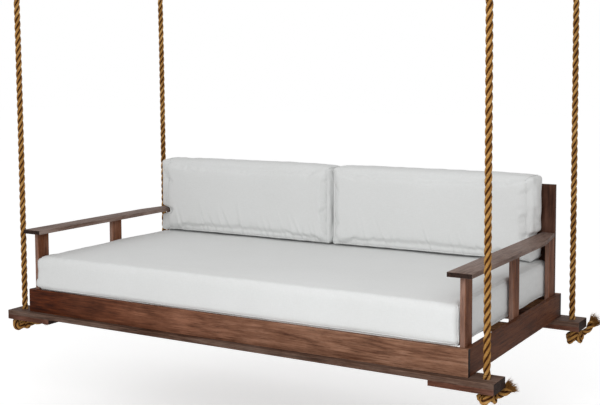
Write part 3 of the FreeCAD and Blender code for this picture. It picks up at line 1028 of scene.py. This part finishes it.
def lap_rail(piece, low, high):
    """Lets the mattress swell a little over the front rail's top, and round the left front post there."""
    rail_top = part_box("front_rail")[1].z
    post_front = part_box("left_front_post")[0].y
    places = points_of(piece)
    share = (places[:, 0] - low.x) / (high.x - low.x)
    above = ease((places[:, 2] - rail_top - LAP_START) / LAP_RISE)
    front = ease((low.y + LAP_FRONT - places[:, 1]) / LAP_FRONT)
    places[:, 1] -= (LAP_LEFT + (LAP_RIGHT - LAP_LEFT) * share) * front * above
    beside = ease((low.x + LAP_BESIDE - places[:, 0]) / LAP_BESIDE)
    corner = beside * ease((post_front - POST_CLEAR - places[:, 1]) / POST_EASE)
    places[:, 0] -= LAP_CORNER * corner * above
    behind = (places[:, 2] < rail_top + RAIL_BAND) & (places[:, 1] < low.y + RAIL_REACH)
    places[behind, 1] = low.y + RAIL_GAP
    set_points(piece, places)


def make_mattress(material):
    """A foam mattress with a plain front and top, end panels and a bottom panel sewn in."""
    sides = [(axis, side) for axis in range(3) for side in (-1, 1)]
    piece, low, high = stuffed("mattress_cover", "mattress", {(2, 1): 0.006}, (0.002, 0.002, 0.0), 0.012,
                               (0.026, 0.009), 0.002, sides)
    lap_rail(piece, low, high)
    places, normals = points_of(piece), normals_of(piece)
    upright = ease(1.4 * (1 - np.abs(normals[:, 2])))
    level = 1 - upright
    on_top = level * (places[:, 2] > (low.z + high.z) / 2)
    to_edge = np.minimum.reduce([places[:, 1] - low.y, high.x - places[:, 0], places[:, 0] - low.x])
    down = high.z - places[:, 2]
    rim = np.exp(-np.abs(to_edge) / 0.10) * on_top + np.exp(-down / 0.045) * upright
    depths = on_top * 0.0030 * (noise_at(places, (4.5, 3.0, 1), 1.7) - 0.6)
    depths += rim * 0.0016 * noise_at(places, (52, 9, 14), 5.5)
    depths += rim * 0.0014 * noise_at(places, (19, 7, 9), 2.2)
    depths += upright * 0.0022 * (noise_at(places, (6, 6, 4), 8.2) - 0.5)
    ends = np.exp(-np.minimum(high.x - places[:, 0], places[:, 0] - low.x) / 0.07)
    depths += ends * upright * 0.0018 * noise_at(places, (16, 16, 40), 3.9)
    push(piece, depths)
    seams = [(loop_seam(piece, low, high, 0, side, 260), True) for side in (-1, 1)]
    seams.append((front_seam(piece, low, high), False))
    sew(piece, "mattress_seams", seams, material)
    press_flat(piece, low, high, [(0, 1), (1, 1), (2, -1), (2, 1)], 0.002)
    finish_cover(piece, "mattress", material)


def slanted_creases(places, normals, low, high, count, seed):
    """Sharp folds that rise from a back cushion's lower edge and lean, fading upwards."""
    rng = np.random.default_rng(seed)
    facing = ease(-normals[:, 1] * 1.6 - 0.2)
    up = places[:, 2] - low.z
    depths = np.zeros(len(places))
    for crease in range(count):
        share = (crease + rng.uniform(0.1, 0.9)) / count
        foot = low.x + 0.03 + (high.x - low.x - 0.06) * share
        lean = rng.uniform(0.22, 0.45)
        tall = rng.uniform(0.07, 0.20)
        wide = rng.uniform(0.0065, 0.010)
        deep = rng.uniform(0.0016, 0.0042)
        bend = rng.uniform(-0.6, 0.6)
        off = places[:, 0] - (foot - lean * up + bend * up ** 2)
        fade = ease((tall - up) / tall) * ease(up / 0.02)
        depths += deep * fade * (np.exp(-((off - wide) / wide) ** 2) - np.exp(-(off / wide) ** 2))
    return depths * facing


def swell_past_arm(piece, side, low, high):
    """Lets a back cushion's outer end swell over and under the arm beside it."""
    arm_low, arm_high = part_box(side + "_arm")
    places = points_of(piece)
    sign = -1 if side == "left" else 1
    outer = high.x if sign > 0 else -low.x
    reach = ease((sign * places[:, 0] - (outer - SPREAD)) / SPREAD)
    clear = np.maximum(places[:, 2] - arm_high.z, arm_low.z - places[:, 2])
    places[:, 0] += sign * ARM_BULGE[side] * reach ** 2 * ease(clear / ARM_EASE)
    set_points(piece, places)


def make_back_cushion(side, material, creases, seed):
    """A fibre-filled back cushion with end panels and a bottom panel sewn in."""
    name = side + "_cushion"
    node = side + "_back_cushion"
    crowns = {(1, -1): 0.006, (2, 1): 0.014, (0, -1): 0.003, (0, 1): 0.003}
    piece, low, high = stuffed(name + "_cover", node, crowns, (0.0, 0.0, 0.002), 0.0085,
                               (0.021, 0.015), 0.003, [(2, -1), (1, 1), (0, -1), (0, 1)], CUSHION_DROP)
    swell_past_arm(piece, side, low, high)
    places, normals = points_of(piece), normals_of(piece)
    facing = ease(-normals[:, 1] * 1.6 - 0.2)
    down = (high.z - places[:, 2]) / (high.z - low.z)
    depths = slanted_creases(places, normals, low, high, creases, seed)
    depths += facing * 0.0030 * noise_at(places, (3.5, 1, 4.5), seed + 0.6)
    drawn = places.copy()
    drawn[:, 0] += 0.35 * drawn[:, 2]
    depths += facing * 0.0022 * noise_at(drawn, (26, 1, 3.0), seed + 6.3) * ease(1.6 * (down - 0.35))
    depths += (1 - facing) * 0.0020 * noise_at(places, (22, 22, 22), seed + 4.4)
    ends = np.exp(-np.minimum(high.x - places[:, 0], places[:, 0] - low.x) / 0.05)
    depths += ends * 0.0009 * noise_at(places, (12, 12, 34), seed + 9.9)
    push(piece, depths)
    seams = [(loop_seam(piece, low, high, 0, end, 200), True) for end in (-1, 1)]
    seams.append((front_seam(piece, low, high), False))
    sew(piece, name + "_seams", seams, material)
    press_flat(piece, low, high, [(2, -1), (1, 1)], 0.001)
    finish_cover(piece, node, material)


def make_cushions():
    """The mattress and the two back cushions."""
    material = canvas()
    make_mattress(material)
    make_back_cushion("left", material, 24, 3)
    make_back_cushion("right", material, 12, 8)


# ---- floor and light ----------------------------------------------------------------------------
FLOOR_BELOW = 0.45            # floor under the beams
FLOOR_SIZE = 60.0
FLOOR_TONE = 0.84
FLOOR_GLOW = 0.45             # light that the floor adds where the camera sees it
SURROUND = 0.66               # strength of the white surround as a light
KEY_POWER = 45
FILL_POWER = 6


def make_floor():
    """A wide pale floor, lit well enough to be nearly white."""
    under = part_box("front_beam")[0].z
    bpy.ops.mesh.primitive_plane_add(size=FLOOR_SIZE, location=(0.0, 0.0, under - FLOOR_BELOW))
    floor = bpy.context.object
    floor.name = "floor"
    material, build, shader = new_material("pale_floor")
    shader.inputs["Base Color"].default_value = (FLOOR_TONE, FLOOR_TONE, FLOOR_TONE, 1)
    shader.inputs["Roughness"].default_value = 0.9
    shader.inputs["Specular IOR Level"].default_value = 0.1
    shader.inputs["Emission Color"].default_value = (1.0, 1.0, 1.0, 1)
    seen = build.node("ShaderNodeLightPath").outputs["Is Camera Ray"]
    build.feed(shader.inputs["Emission Strength"], build.remap(seen, 0.0, 1.0, 0.0, FLOOR_GLOW))
    floor.data.materials.append(material)


def add_lamp(name, place, aim, size, power, tone):
    """A large soft lamp."""
    data = bpy.data.lights.new(name, "AREA")
    data.shape = "RECTANGLE"
    data.size, data.size_y = size
    data.energy = power
    data.color = tone
    lamp = add_object(name, data)
    lamp.location = place
    lamp.visible_camera = False
    lamp.rotation_euler = (Vector(aim) - Vector(place)).to_track_quat("-Z", "Y").to_euler()


def make_light():
    """A white surround, a soft lamp to the front right and a weak one to the front left."""
    world = bpy.data.worlds.new("surround")
    bpy.context.scene.world = world
    world.use_nodes = True
    build = Shader(world.node_tree)
    back = world.node_tree.nodes["Background"]
    back.inputs[0].default_value = (1.0, 1.0, 1.0, 1)
    seen = build.node("ShaderNodeLightPath").outputs["Is Camera Ray"]
    build.feed(back.inputs[1], build.remap(seen, 0.0, 1.0, SURROUND, 1.0))
    add_lamp("key", (1.3, -3.0, 0.0), (0.4, 0.0, -1.45), (1.5, 1.5), KEY_POWER, (0.98, 0.99, 1.0))
    add_lamp("fill", (-2.8, -3.2, 0.6), (-0.2, 0, -1.5), (2.0, 2.0), FILL_POWER, (1.0, 0.98, 0.95))


make_camera()
make_ropes()
make_cushions()
finish_boards()
finish_hangers()
make_floor()
make_light()
bpy.context.scene.view_settings.view_transform = "Standard"
bpy.context.view_layer.update()
